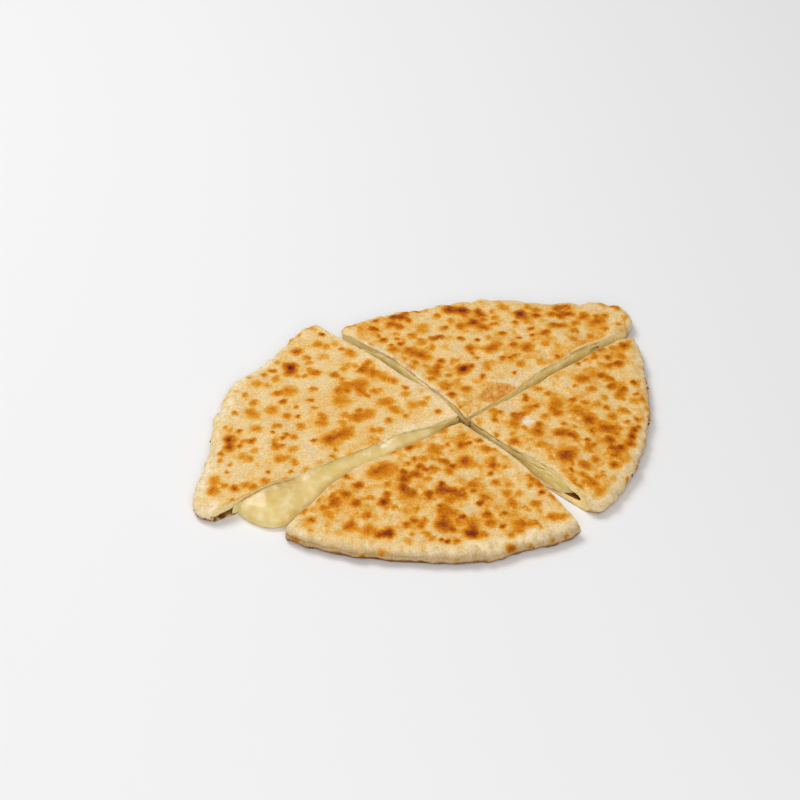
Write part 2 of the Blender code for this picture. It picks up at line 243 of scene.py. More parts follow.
def curve_through(points, cells):
    """A smooth Catmull-Rom curve through the points, cut into even cells."""
    points = np.array(points, dtype=float)
    padded = np.vstack([2 * points[0] - points[1], points, 2 * points[-1] - points[-2]])
    t = np.linspace(0.0, 1.0, 24, endpoint=False)[:, None]
    pieces = []
    for a, b, c, d in zip(padded, padded[1:], padded[2:], padded[3:]):
        pieces.append(0.5 * (2 * b + (c - a) * t + (2 * a - 5 * b + 4 * c - d) * t ** 2
                             + (3 * b - a - 3 * c + d) * t ** 3))
    return even_points(np.vstack(pieces + [points[-1:]]), cells)


def along_line(line):
    """Unit vectors along a line at each of its points."""
    along = np.gradient(line, axis=0)
    return along / np.linalg.norm(along, axis=1, keepdims=True)


def right_of(line):
    """Unit vectors to the right of each point of a line."""
    along = along_line(line)
    return np.stack([along[:, 1], -along[:, 0]], axis=1)


def rim_line(plan, cells):
    """The rim's outline where it stands out furthest, with its waves. Its middle point, a corner
    of the grids below, lies where the rim bulges most."""
    line = curve_through(plan.rim, RIM_POINTS)
    along = np.linspace(0.0, 1.0, len(line))
    waves = np.sin(37.0 * along + plan.phase) + 0.6 * np.sin(61.0 * along + 2.0 * plan.phase)
    waves += 1.2 * uneven(line, 14.0, 9)
    line = line + right_of(line) * (RIM_WAVE * waves * np.sin(math.pi * along))[:, None]
    reach = BULGE_REACH
    before, after = line[reach:-reach] - line[:-2 * reach], line[2 * reach:] - line[reach:-reach]
    bulge = before[:, 0] * after[:, 1] - before[:, 1] * after[:, 0]
    corner = reach + np.argmax(bulge * (np.abs(along[reach:-reach] - 0.5) < CORNER_RANGE))
    return np.vstack([even_points(line[:corner + 1], cells), even_points(line[corner:], cells)[1:]])


def inset_rim(plan, inset, cells):
    """The rim's outline moved inwards; its two ends slide along the cuts."""
    line = rim_line(plan, cells)
    inwards = -right_of(line)
    share = np.linspace(0.0, 1.0, len(line))
    moved = inwards.copy()
    for end, cut in ((0, plan.first_cut), (-1, plan.second_cut)):
        back = np.subtract(cut[-2], cut[-1])
        back = back / np.linalg.norm(back)
        slide = back / np.dot(back, inwards[end])
        near_end = fade(np.abs(share - share[end]), 0.0, SLIDE_SHARE)
        moved += (slide - inwards) * near_end[:, None]
    return line + moved * inset


def cut_line(cut, end, cells):
    """A cut's curve from its inner point out to end, which lies on the curve or very near it."""
    line = curve_through(cut, 8 * cells)
    nearest = np.argmin(np.linalg.norm(line - end, axis=1))
    return even_points(np.vstack([line[:nearest], end]), cells)


def plan_grid(plan, inset, cells):
    """Points over a quarter between its cuts and its inset rim, blended from its four sides."""
    rim = inset_rim(plan, inset, cells)
    first = cut_line(plan.first_cut, rim[0], cells)
    second = cut_line(plan.second_cut, rim[-1], cells)
    u = np.linspace(0.0, 1.0, cells + 1)[:, None, None]
    v = np.linspace(0.0, 1.0, cells + 1)[None, :, None]
    sides = ((1 - v) * first[:, None] + v * rim[cells:][::-1, None]
             + (1 - u) * second[None] + u * rim[None, :cells + 1])
    corners = ((1 - u) * (1 - v) * first[0] + u * (1 - v) * first[-1]
               + (1 - u) * v * second[-1] + u * v * rim[cells])
    grid = sides - corners
    for _ in range(GRID_EASING):
        grid[1:-1, 1:-1] = 0.25 * (grid[2:, 1:-1] + grid[:-2, 1:-1]
                                   + grid[1:-1, 2:] + grid[1:-1, :-2])
    return grid


def ring_of(grid):
    """The outer edge of a grid, from the first cut round to the second."""
    return np.concatenate([grid[-1, :], grid[-2::-1, -1]])


def border_of(grid):
    """The whole edge of a grid: out along the first cut, round, and back along the second."""
    return np.concatenate([grid[:-1, 0], grid[-1, :-1], grid[:0:-1, -1], grid[0, :0:-1]])


def distance_to(line, points):
    """Distance of each point from a line of points, and the nearest one's share of the way."""
    flat = points.reshape(-1, 2)
    near, share = [], []
    for part in np.array_split(flat, max(1, len(flat) // AT_ONCE)):
        gaps = np.hypot(part[:, None, 0] - line[None, :, 0], part[:, None, 1] - line[None, :, 1])
        near.append(gaps.min(axis=1))
        share.append(gaps.argmin(axis=1) / (len(line) - 1))
    shape = points.shape[:-1]
    return np.concatenate(near).reshape(shape), np.concatenate(share).reshape(shape)


def in_from_rim(plan, points):
    """How far in from the rim each point lies."""
    return distance_to(rim_line(plan, LINE_CELLS // 2), points)[0]


def beside(cut, points):
    """Distance of each point from a cut, and how far out along the cut it is, from 0 to 1."""
    return distance_to(curve_through(cut, LINE_CELLS), points)


def from_cuts(plan, points):
    """Distance of each point from the nearer of a quarter's two cuts."""
    cuts = [curve_through(cut, CUT_CELLS) for cut in (plan.first_cut, plan.second_cut)]
    return distance_to(np.vstack(cuts), points)[0]


def top_height(plan, points):
    """Height of the top sheet's upper side over points of the plan."""
    rise = smooth(in_from_rim(plan, points), RIM_TURN, RIM_TURN + RISE)
    x, y = points[..., 0], points[..., 1]
    humps = np.sin(0.11 * x + plan.phase) * np.cos(0.13 * y + 2.0 * plan.phase)
    humps += 0.5 * np.sin(0.17 * (x + y) + 3.0 * plan.phase)
    height = RIM_HEIGHT + (MIDDLE_HEIGHT - RIM_HEIGHT) * rise
    height = height + TOP_WAVE * humps * (0.4 + 0.6 * rise)
    if plan.sag:
        cut, depth, width, comes, goes = plan.sag
        gap, share = beside(getattr(plan, cut), points)
        height = height - depth * between(share, comes, goes) * fade(gap, 0.0, width)
    return height


def rounded_edges(plan, points):
    """How far the top sheet's edge drops along the two cuts."""
    left = EDGE_ROUND - np.minimum(from_cuts(plan, points), EDGE_ROUND)
    return EDGE_ROUND - np.sqrt(EDGE_ROUND ** 2 - left ** 2)


def pocket_heights(plan, points):
    """Heights of the pocket's floor and roof over points of the plan."""
    pinched = fade(in_from_rim(plan, points), plan.inset + POCKET_TURN, plan.inset + PINCH_WIDTH)
    low, high = plan.pinch
    roof = top_height(plan, points) - SHEET - high * pinched
    if plan is PLANS["left"]:
        gap, share = beside(plan.second_cut, points)
        drawn_out = fade(share, *THIN_ENDS) * fade(gap, 0.0, THIN_WIDTH)
        roof = roof + (SHEET - THIN_SHEET - 0.6 * EDGE_ROUND + high * pinched) * drawn_out
    return SHEET + low * pinched, roof


class Skin:
    """Points and faces of one closed surface. Each point also says how far it is cut dough and not
    griddled skin, and how much it is darkened: mostly painted shade, partly real browning."""

    def __init__(self):
        self.points, self.cut, self.fold, self.faces = [], [], [], []
        self.count = 0

    def add(self, plan_points, heights, cut=0.0, fold=0.0):
        """Store points and return their numbers in the same arrangement."""
        shape = plan_points.shape[:-1]
        flat = [np.broadcast_to(values, shape).reshape(-1) for values in (heights, cut, fold)]
        self.points.append(np.column_stack([plan_points.reshape(-1, 2), flat[0]]))
        self.cut.append(flat[1])
        self.fold.append(flat[2])
        numbers = self.count + np.arange(flat[0].size).reshape(shape)
        self.count += flat[0].size
        return numbers

    def add_sparse(self, plan_points, heights, step, fine_ring, cut=0.0, fold=0.0):
        """Store every step-th point of a grid, and all those along its cuts and, if asked, its
        ring. Points left out have the number -1."""
        keep = np.zeros(plan_points.shape[:-1], dtype=bool)
        keep[::step, ::step] = True
        keep[:, 0] = keep[0, :] = True
        if fine_ring:
            keep[-1, :] = keep[:, -1] = True
        heights = np.broadcast_to(heights, keep.shape)
        numbers = np.full(keep.shape, -1)
        numbers[keep] = self.add(plan_points[keep], heights[keep], cut, fold)
        return numbers

    def net(self, numbers, flip=False):
        """Four-sided faces over rows of point numbers."""
        corners = [numbers[:-1, :-1], numbers[1:, :-1], numbers[1:, 1:], numbers[:-1, 1:]]
        quads = np.stack(corners, axis=-1).reshape(-1, 4)
        self.faces += (quads[:, ::-1] if flip else quads).tolist()

    def sparse_net(self, numbers, step, flip=False):
        """Faces over a sparse grid; those at a fine side take in all its points."""
        for i in range(0, len(numbers) - 1, step):
            for j in range(0, len(numbers) - 1, step):
                walk = border_of(numbers[i:i + step + 1, j:j + step + 1])
                walk = walk[walk >= 0]
                self.faces.append((walk[::-1] if flip else walk).tolist())


def open_edge(top, rim, base):
    """The edge of a layer at the cuts, as one closed row of points: out along the first cut's top,
    down the rim, back under, out under the second cut, up the rim and back on top."""
    return np.concatenate([top[:, 0], rim[1:-1, 0], base[::-1, 0],
                           base[0, 1:], rim[-2:0:-1, -1], top[0, ::-1]])


def rim_rows(skin, plan, ring, ring_z, inset, turn, tuck, belly, lift, step=1, **marks):
    """Rows of a rounded rim below a top's ring, without the last, which belongs to the base."""
    rows = [ring]
    angles = np.linspace(0.0, 0.5 * math.pi, RIM_ROWS + 1)[1:]
    for angle in angles:
        line = inset_rim(plan, inset + turn * (1.0 - math.sin(angle)), plan.cells)[::step]
        rows.append(skin.add(line, belly + (ring_z - belly) * math.cos(angle), **marks))
    for angle in angles[:-1]:
        line = inset_rim(plan, inset + tuck * (1.0 - math.cos(angle)), plan.cells)[::step]
        rows.append(skin.add(line, belly - (belly - lift) * math.sin(angle), **marks))
    return rows


def dough_skin(plan):
    """The closed surface of one quarter's dough: outside, pocket, and the two cut edges."""
    skin = Skin()
    top_plan = plan_grid(plan, RIM_TURN, plan.cells)
    top_z = top_height(plan, top_plan) - rounded_edges(plan, top_plan)
    top = skin.add(top_plan, top_z)
    skin.net(top)
    rows = rim_rows(skin, plan, ring_of(top), ring_of(top_z), 0.0, RIM_TURN, RIM_TUCK, RIM_BELLY,
                    0.0)
    base = skin.add_sparse(plan_grid(plan, RIM_TUCK, plan.cells), 0.0, UNDER_STEP, True)
    skin.sparse_net(base, UNDER_STEP, flip=True)
    outer_rim = np.array(rows + [ring_of(base)])
    skin.net(outer_rim)

    pocket_plan = plan_grid(plan, plan.inset + POCKET_TURN, plan.cells)
    floor_z, roof_z = pocket_heights(plan, pocket_plan)
    # The pocket's inside carries its painted shade.
    roof = skin.add_sparse(pocket_plan, roof_z, POCKET_STEP, False, cut=1.0, fold=plan.hollow)
    skin.sparse_net(roof, POCKET_STEP, flip=True)
    floor = skin.add_sparse(pocket_plan, floor_z, POCKET_STEP, False, cut=1.0, fold=plan.hollow)
    skin.sparse_net(floor, POCKET_STEP)
    ring_low, ring_high = ring_of(floor_z)[::POCKET_STEP], ring_of(roof_z)[::POCKET_STEP]
    rows = rim_rows(skin, plan, ring_of(roof)[::POCKET_STEP], ring_high, plan.inset, POCKET_TURN,
                    POCKET_TURN, 0.5 * (ring_low + ring_high), ring_low, POCKET_STEP, cut=1.0,
                    fold=plan.hollow)
    pocket_rim = np.array(rows + [ring_of(floor)[::POCKET_STEP]])
    skin.net(pocket_rim, flip=True)
    cut_band(skin, plan, open_edge(top, outer_rim, base), open_edge(roof, pocket_rim, floor),
             top_plan)
    return skin


CUT_LAYERS = 6              # thin layers over the whole height of a cut edge
LAYER_DEPTH = 0.22          # how deep the lines between them are, as a share of the edge's width
LAYER_DEEPEST = 0.8
LAYERS_END = (0.80, 0.92)   # shares of the way out along a cut where the layers press together
PLAIN_TIP = 3.0             # a quarter's point is smooth over this length


def lines_between(layer):
    """Narrow lines, one at each whole number of layers."""
    return (0.5 + 0.5 * np.cos(2.0 * math.pi * layer)) ** 3


def cut_band(skin, plan, outer, inner, top_plan):
    """The edge that the knife left between the outside and the pocket, with its thin layers."""
    points = np.vstack(skin.points)
    start, end = points[outer], points[inner]
    first, second = right_of(top_plan[:, 0]), -right_of(top_plan[0, :])
    turns = 2 * RIM_ROWS - 1
    facing = np.concatenate([first, np.repeat(first[-1:], turns, axis=0), first[::-1], second[1:],
                             np.repeat(second[-1:], turns, axis=0), second[::-1]])
    half = len(start) // 2
    on_first = np.arange(len(start)) < half
    width = np.linalg.norm(end - start, axis=1)
    from_tip = np.linalg.norm(start[:, :2] - top_plan[0, 0], axis=1)
    out = from_tip / np.where(on_first, from_tip[:half].max(), from_tip[half:].max())
    layering = np.where(on_first, *plan.layering) * (1.0 - 0.9 * smooth(out, *LAYERS_END))
    past_tip = smooth(from_tip, 0.0, PLAIN_TIP)
    height = top_height(plan, start[:, :2])
    rows = [outer]
    for row in range(1, CUT_ROWS):
        share = row / CUT_ROWS
        place = start + (end - start) * share
        waver = 1.2 * uneven(place[:, :2], 19.0, 3) + 0.7 * uneven(place, 7.0, 4)
        # The lines between the layers are cut in as grooves and darkened with painted shade.
        line = lines_between(CUT_LAYERS * place[:, 2] / height + waver)
        line = line * smooth(uneven(place, 5.0, 8), -0.6, 0.5) * layering
        depth = np.minimum(LAYER_DEPTH * width, LAYER_DEEPEST) * (0.6 + 0.4 * uneven(place, 6.0, 5))
        texture = 0.6 * rough(place, (0.12, 1.3, 6), (0.2, 4.0, 7))
        inwards = (depth * line * math.sin(math.pi * share) ** 0.3 + texture) * past_tip
        moved = place[:, :2] - facing * inwards[:, None]
        numbers = skin.add(moved[:-1], place[:-1, 2], cut=1.0, fold=(line * past_tip)[:-1])
        rows.append(np.append(numbers, numbers[0]))
    skin.net(np.array(rows + [inner]))


def toast_marks(quarter, plan, draw):
    """Place, radius and darkness of every toasted blister on a quarter's top."""
    outline = np.vstack([curve_through(plan.first_cut, 40), rim_line(plan, 40),
                         curve_through(plan.second_cut, 40)])
    low, high = outline.min(axis=0), outline.max(axis=0)
    marks = [np.array(mark, dtype=float) for mark in plan.marks]
    for _ in range(int(MARKS_PER_CM2[quarter] * np.prod(high - low) / 100.0)):
        place = low + (high - low) * draw.random(2)
        size, darkness = draw.uniform(*MARK_SIZES), draw.uniform(*MARK_DARKNESS)
        clear = 0.8 * (np.array([mark[2] for mark in marks]) + size)
        away = np.array([math.hypot(*(mark[:2] - place)) for mark in marks])
        if (away > clear).all():
            marks.append(np.array([*place, size, darkness]))
    return np.array(marks)


def toasting(points, marks):
    """How toasted each point of the griddled skin is, from 0 to 1. Each blister has a dark middle,
    a browned patch and a faint halo, all with uneven outlines."""
    flat = points[:, :2]
    place = flat + 0.65 * (jitter(flat, 3.2, 11, 12) + 0.6 * jitter(flat, 1.3, 13, 14))
    left = np.ones(len(points))
    for x, y, radius, darkness in marks:
        away = ((place[:, 0] - x) ** 2 + (place[:, 1] - y) ** 2) / radius ** 2
        near = away < 8.0
        middle = 0.33 * darkness ** 1.5 * np.exp(-3.0 * away[near])
        patch = (0.15 + 0.33 * darkness) * fade(away[near], 0.1, 2.0)
        halo = (0.08 + 0.11 * darkness) * np.exp(-0.45 * away[near])
        left[near] *= 1.0 - middle - patch - halo
    return 1.0 - left


def evenly_browned(plan, flat):
    """How much of the skin between the blisters is browned, in patches."""
    patches = rough(flat, (0.40, 11.0, 15), (0.45, 5.0, 16), (0.40, 2.4, 17))
    return plan.browning * (0.25 + 0.75 * smooth(patches, -0.5, 0.7))


def relief(points, toast):
    """How far the griddled skin stands out, in millimetres, with its blisters and wrinkles."""
    bumps = rough(points, (0.26, 11.0, 21), (0.18, 4.6, 22), (0.17, 2.2, 23), (0.09, 1.2, 24))
    return bumps + 0.3 * smooth(toast, 0.15, 0.6)


def leaned(quarter, points):
    """The same points, with a cut edge sloping back where the knife leaned over."""
    if quarter not in LEANING:
        return points
    comes, goes, most, reach = LEANING[quarter]
    cut = PLANS[quarter].first_cut
    gap, share = beside(cut, points[:, :2])
    amount = most * between(share, comes, goes)
    amount *= fade(gap, 0.0, reach) * (points[:, 2] / RIM_HEIGHT).clip(0.0)
    nearest = np.round(share * LINE_CELLS).astype(int)
    moved = points.copy()
    moved[:, :2] -= right_of(curve_through(cut, LINE_CELLS))[nearest] * amount[:, None]
    return moved


def shade_at_crossing(points):
    """Painted shade of the deep gaps where the cuts cross: how much the cuts and cheese are
    darkened low down there.
    """
    away, height = np.hypot(points[:, 0], points[:, 1]), points[:, 2]
    return fade(away, 4.0, 13.0) * fade(height, 5.0, 11.0)


def put(name, data):
    """A new object in the scene."""
    made = bpy.data.objects.new(name, data)
    bpy.context.collection.objects.link(made)
    return made


def new_piece(name, points, faces, material, values):
    """A mesh object in metres, in the frame's place, with its values stored on its points."""
    mesh = bpy.data.meshes.new(name)
    mesh.from_pydata((points + crossing) * MM, [], faces)
    for title, value in values.items():
        stored = mesh.attributes.new(title, "FLOAT", "POINT")
        stored.data.foreach_set("value", value.astype(np.float32))
    mesh.materials.append(material)
    mesh.shade_smooth()
    return put(name, mesh)


def stand_out(skin_points, faces, amount):
    """Move points along the surface's own normals."""
    mesh = bpy.data.meshes.new("measure")
    mesh.from_pydata(skin_points, [], faces)
    normals = np.empty(3 * len(skin_points))
    mesh.vertex_normals.foreach_get("vector", normals)
    bpy.data.meshes.remove(mesh)
    return skin_points + normals.reshape(-1, 3) * amount[:, None]


def linear(hex_colour):
    """A colour written as #rrggbb, as the linear values that a shader takes."""
    parts = [int(hex_colour[k:k + 2], 16) / 255.0 for k in (1, 3, 5)]
    return (*[c / 12.92 if c <= 0.04045 else ((c + 0.055) / 1.055) ** 2.4 for c in parts], 1.0)


def add_node(tree, kind, inputs=None, stops=None, **settings):
    """A node with its settings, its inputs (values or sockets to link) and any colour stops."""
    made = tree.nodes.new(kind)
    for name, value in settings.items():
        setattr(made, name, value)
    for socket, value in (inputs or {}).items():
        if isinstance(value, bpy.types.NodeSocket):
            tree.links.new(value, made.inputs[socket])
        else:
            made.inputs[socket].default_value = value
    if stops:
        ramp = made.color_ramp
        for _ in stops[2:]:
            ramp.elements.new(0.5)
        for element, (position, colour) in zip(ramp.elements, stops):
            element.position = position
            element.color = linear(colour)
    return made


def worked_out(tree, operation, *terms, kind="Math"):
    """The result of a step of arithmetic; its terms are values or sockets."""
    return add_node(tree, f"ShaderNode{kind}", dict(enumerate(terms)),
                    operation=operation).outputs[0]


def noise(tree, where, size, detail=2.0, roughness=0.5, output="Fac"):
    """Soft noise with features about size metres apart."""
    return add_node(tree, "ShaderNodeTexNoise",
                    {"Vector": where, "Scale": 1.0 / size, "Detail": detail,
                     "Roughness": roughness}).outputs[output]


def ranged(tree, value, low, high, to_low=0.0, to_high=1.0, **settings):
    """A value taken from the range between low and high to another range."""
    return add_node(tree, "ShaderNodeMapRange",
                    {"Value": value, "From Min": low, "From Max": high, "To Min": to_low,
                     "To Max": to_high}, **settings).outputs[0]


def coloured(tree, value, *stops):
    """A colour that changes with a value, through the stops."""
    return add_node(tree, "ShaderNodeValToRGB", {"Fac": value}, stops=stops).outputs["Color"]


def blended(tree, share, under, over):
    """A colour with a share of another over it."""
    return add_node(tree, "ShaderNodeMix", {"Factor": share, 6: under, 7: over},
                    data_type="RGBA").outputs[2]


def empty_material(name):
    """A material with an empty tree, and that tree."""
    material = bpy.data.materials.new(name)
    material.use_nodes = True
    material.node_tree.nodes.clear()
    return material, material.node_tree


def finish_material(tree, shader_inputs):
    """The shader that a material ends in, with its inputs."""
    shader = add_node(tree, "ShaderNodeBsdfPrincipled", shader_inputs)
    add_node(tree, "ShaderNodeOutputMaterial", {"Surface": shader.outputs[0]})


# Griddled wheat dough: dry and matt, cream where it stayed off the griddle, going through gold to
# dark brown where a blister touched it. Freckles, near-white spots and thin spots mottle the cream.
# Its fine light and dark flecks are partly specks of flour and partly painted shading and
# highlights of the pitted skin.
griddled_dough, tree = empty_material("griddled_wheat_dough")
where = add_node(tree, "ShaderNodeTexCoord").outputs["Object"]
stored = {title: add_node(tree, "ShaderNodeAttribute", attribute_name=title).outputs["Fac"]
          for title in ("toast", "wash", "raw", "cut", "fold", "whitened", "peeled")}
grain = noise(tree, where, 0.0011, 3.0, 0.75)
tint = noise(tree, where, 0.0034, 3.0, 0.6)
thin = noise(tree, where, 0.013, 5.0, 0.65)
bent = worked_out(tree, "MULTIPLY_ADD", noise(tree, where, 0.0025, output="Color"),
                  (0.0022, 0.0022, 0.0022), where, kind="VectorMath")
browning = []
for spacing, most in ((0.0080, 0.9), (0.0046, 0.8)):
    cells = add_node(tree, "ShaderNodeTexVoronoi", {"Vector": bent, "Scale": 1.0 / spacing})
    freckle = worked_out(tree, "MULTIPLY",
                         ranged(tree, cells.outputs["Distance"], 0.50, 0.05,
                                interpolation_type="SMOOTHSTEP"),
                         ranged(tree, cells.outputs["Color"], 0.2, 0.8, to_high=most))
    browning.append(worked_out(tree, "MULTIPLY", freckle, stored["wash"]))
all_toast = stored["toast"]
for more in browning + [stored["wash"]]:
    untoasted = worked_out(tree, "SUBTRACT", 1.0, all_toast)
    all_toast = worked_out(tree, "MULTIPLY_ADD", more, untoasted, all_toast)
for mottling, share in ((grain, 0.06), (tint, 0.42), (thin, 0.35)):
    shift = worked_out(tree, "ADD", mottling, -0.5)
    all_toast = worked_out(tree, "MULTIPLY_ADD", shift, share, all_toast)
skin_colour = coloured(tree, all_toast, (0.0, "#f6dbac"), (0.12, "#f5d394"), (0.25, "#f3c87d"),
                       (0.35, "#f1ba63"), (0.45, "#eba945"), (0.55, "#e4972c"), (0.65, "#d98212"),
                       (0.78, "#bb6400"), (0.90, "#944000"), (1.0, "#6a2400"))
paleness = ranged(tree, all_toast, 0.50, 0.15)
blush = worked_out(tree, "MULTIPLY", ranged(tree, thin, 0.50, 0.66, to_high=0.5), paleness)
skin_colour = blended(tree, blush, skin_colour, linear("#f1d8b8"))
raw = worked_out(tree, "MULTIPLY", stored["raw"], paleness)
raw_dough = coloured(tree, tint, (0.38, "#f2d086"), (0.50, "#fce3ae"), (0.62, "#ffeed2"))
skin_colour = blended(tree, raw, skin_colour, raw_dough)
bare = coloured(tree, tint, (0.36, "#d68a34"), (0.50, "#e3a04e"), (0.66, "#ebb474"))
skin_colour = blended(tree, stored["peeled"], skin_colour, bare)
# Painted shade in the crease round the rim and low down on the rim, with the browned underside at
# its foot, darkens the skin towards brown.
seam = worked_out(tree, "MULTIPLY", stored["fold"], 0.7)
skin_colour = blended(tree, seam, skin_colour, linear("#8a5a28"))
# Cut dough is pale cream; painted shade darkens the lines between its layers and the pocket's
# inside towards brown.
layers = coloured(tree, stored["fold"], (0.0, "#ffe6a6"), (0.35, "#e6b660"), (1.0, "#7a4c18"))
cut_colour = blended(tree, stored["toast"], layers, linear("#6e3d14"))
surface = blended(tree, stored["cut"], skin_colour, cut_colour)
# Near-white spots, and a pale line along the back quarter's cut edge.
surface = blended(tree, stored["whitened"], surface, linear("#fbf1e0"))
# Fine light and dark flecks: partly specks of flour, partly painted shading and highlights of the
# pitted skin. They are weaker on the pale rim and the cut dough.
lightness = worked_out(tree, "MULTIPLY", ranged(tree, grain, 0.25, 0.75, 0.75, 1.20),
                       ranged(tree, tint, 0.30, 0.70, 0.94, 1.05))
flecks_and_shading = surface
for operation, *terms in (("ADD", (0.25, 0.25, 0.25)),
                          ("MULTIPLY_ADD", lightness, (-0.25, -0.25, -0.25)),
                          ("MAXIMUM", (0.0, 0.0, 0.0))):
    flecks_and_shading = worked_out(tree, operation, flecks_and_shading, *terms, kind="VectorMath")
smoother = worked_out(tree, "MAXIMUM", stored["raw"], stored["cut"])
surface = blended(tree, ranged(tree, smoother, 0.0, 1.0, 1.0, 0.45), surface, flecks_and_shading)
pores = add_node(tree, "ShaderNodeBump", {"Height": noise(tree, where, 0.0011, 3.0, 0.65),
                                          "Strength": 0.8, "Distance": 0.0005})
finish_material(tree, {"Base Color": surface, "Roughness": 0.55, "IOR": 1.45,
                       "Specular IOR Level": 0.08, "Subsurface Weight": 0.05,
                       "Subsurface Radius": (1.0, 0.55, 0.25), "Subsurface Scale": 0.0015,
                       "Normal": pores.outputs["Normal"]})

# The cuts cross where the right quarter's and the front quarter's inner points meet.
crossing = np.array([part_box("dough_right")[0].x / MM - PLANS["right"].first_cut[0][0],
                     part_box("dough_front")[1].y / MM - PLANS["front"].first_cut[0][1],
                     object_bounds()[0].z / MM])

# The skin browns less towards the rim: how wide the pale band is near the rim's start and from
# its middle on.
RIM_PALE = {"left": (1.0, 6.5), "back": (2.0, 3.0), "right": (5.0, 2.5), "front": (4.5, 6.0)}
PALE_FADE = 2.5             # it fades over this much to either side
RIM_RAW = {"left": 1.0, "back": 0.5, "right": 0.6, "front": 0.6}   # how pale it is there
RIM_SHADE = {"left": 0.0, "back": 0.12, "right": 0.22, "front": 0.68}   # painted shade low down on the rim, darkest on the front
UNDER_SHADE = 0.75          # and lowest of all: browned underside with painted contact shade
RIM_CRINKLE = 0.8
RIM_LENGTH = 200.0          # about, along one quarter
SEAM_HEIGHT = 4.9           # a line round the rim, where the sheet was folded under
SEAM_WIDTH = 0.42
SEAM_DEPTH = 0.9
SEAM_LIP = 0.35             # the sheet stands out this much above it
BARE_EDGE = 0.7             # width of the pale edge along the cuts
# It widens along some second cuts: by how much, and where that comes and goes on the way out.
WIDER_EDGE = {"left": (4.5, (0.0, 0.04), (0.16, 0.34)), "front": (2.6, (0.10, 0.3), (0.5, 0.65))}
# Browned spots on the rims: share of the way round, height, radius and darkness.
RIM_SPOTS = {"left": [(0.28, 7.0, 2.0, 0.45), (0.55, 6.0, 1.6, 0.4), (0.86, 7.0, 2.4, 0.4)],
             "back": [(0.30, 7.5, 2.6, 0.5), (0.36, 7.8, 2.6, 0.6), (0.42, 7.6, 2.2, 0.5),
                      (0.62, 7.4, 2.0, 0.4), (0.8, 7.2, 2.0, 0.4)],
             "right": [(0.17, 6.0, 2.6, 0.75), (0.23, 4.6, 2.0, 0.85), (0.34, 6.2, 2.0, 0.6),
                       (0.44, 5.4, 2.2, 0.75), (0.58, 6.4, 2.0, 0.6), (0.66, 5.2, 2.2, 0.85),
                       (0.80, 6.0, 1.8, 0.6)],
             "front": [(0.245, 2.6, 2.4, 0.95), (0.30, 6.9, 3.2, 0.7), (0.05, 3.2, 3.2, 0.7),
                       (0.50, 4.2, 1.8, 0.45), (0.712, 6.5, 3.6, 0.95), (0.79, 4.2, 2.0, 0.6),
                       (0.87, 5.2, 2.0, 0.6), (0.93, 4.6, 1.8, 0.65)]}
PEELED = {"back": (20.0, 22.5, 9.5)}    # where a blister's skin came off: its place and radius
PEELED_DEPTH = 0.4
WHITE_SPOT = {"right": (34.0, -2.0, 4.2)}  # a near-white spot on the skin: its place and radius


def at_share(line, share):
    """The point of a line that lies at a share of its way."""
    return line[round(share * (len(line) - 1))]


def spotted(quarter, rim, points):
    """How toasted the browned spots make the rim."""
    spots = np.zeros(len(points))
    ragged = points + 0.8 * jitter(points, 1.8, 29, 51, 52)
    for share, height, radius, darkness in RIM_SPOTS[quarter]:
        away = np.sum((ragged - [*at_share(rim, share), height]) ** 2, axis=1) / radius ** 2
        spot = darkness * (0.5 * np.exp(-3.0 * away) + 0.5 * fade(away, 0.2, 2.0))
        spots = np.maximum(spots, spot)
    return spots


def bare_edges(quarter, plan, flat, along_cut):
    """How bare the skin is along the cuts, where the knife left a thin edge."""
    width = BARE_EDGE + 0.8 * uneven(flat, 8.0, 49)
    if quarter in WIDER_EDGE:
        more, comes, goes = WIDER_EDGE[quarter]
        width += more * between(along_cut, comes, goes)
    return fade(from_cuts(plan, flat), 0.5 * width, 1.5 * width.clip(0.4))


def seam_round_rim(quarter, points, from_rim, along_rim):
    """How much each point lies in the crease round the rim, which is pressed in and darkened with
    painted shade, and how far the sheet stands out there just above that line, both as shares."""
    flat = points[:, :2]
    near_rim = fade(from_rim, 3.0, 4.5)
    here = smooth(uneven(flat, 34.0, 35), -0.5, 0.2) * near_rim
    if quarter == "front":
        here = np.maximum(here, near_rim * fade(along_rim, 0.42, 0.56))
    above = points[:, 2] - (SEAM_HEIGHT + rough(flat, (0.8, 26.0, 33), (0.25, 7.0, 34)))
    return (np.exp(-(above / SEAM_WIDTH) ** 2) * here,
            between(above, (-0.1, 0.9), (0.9, 3.5)) * here)


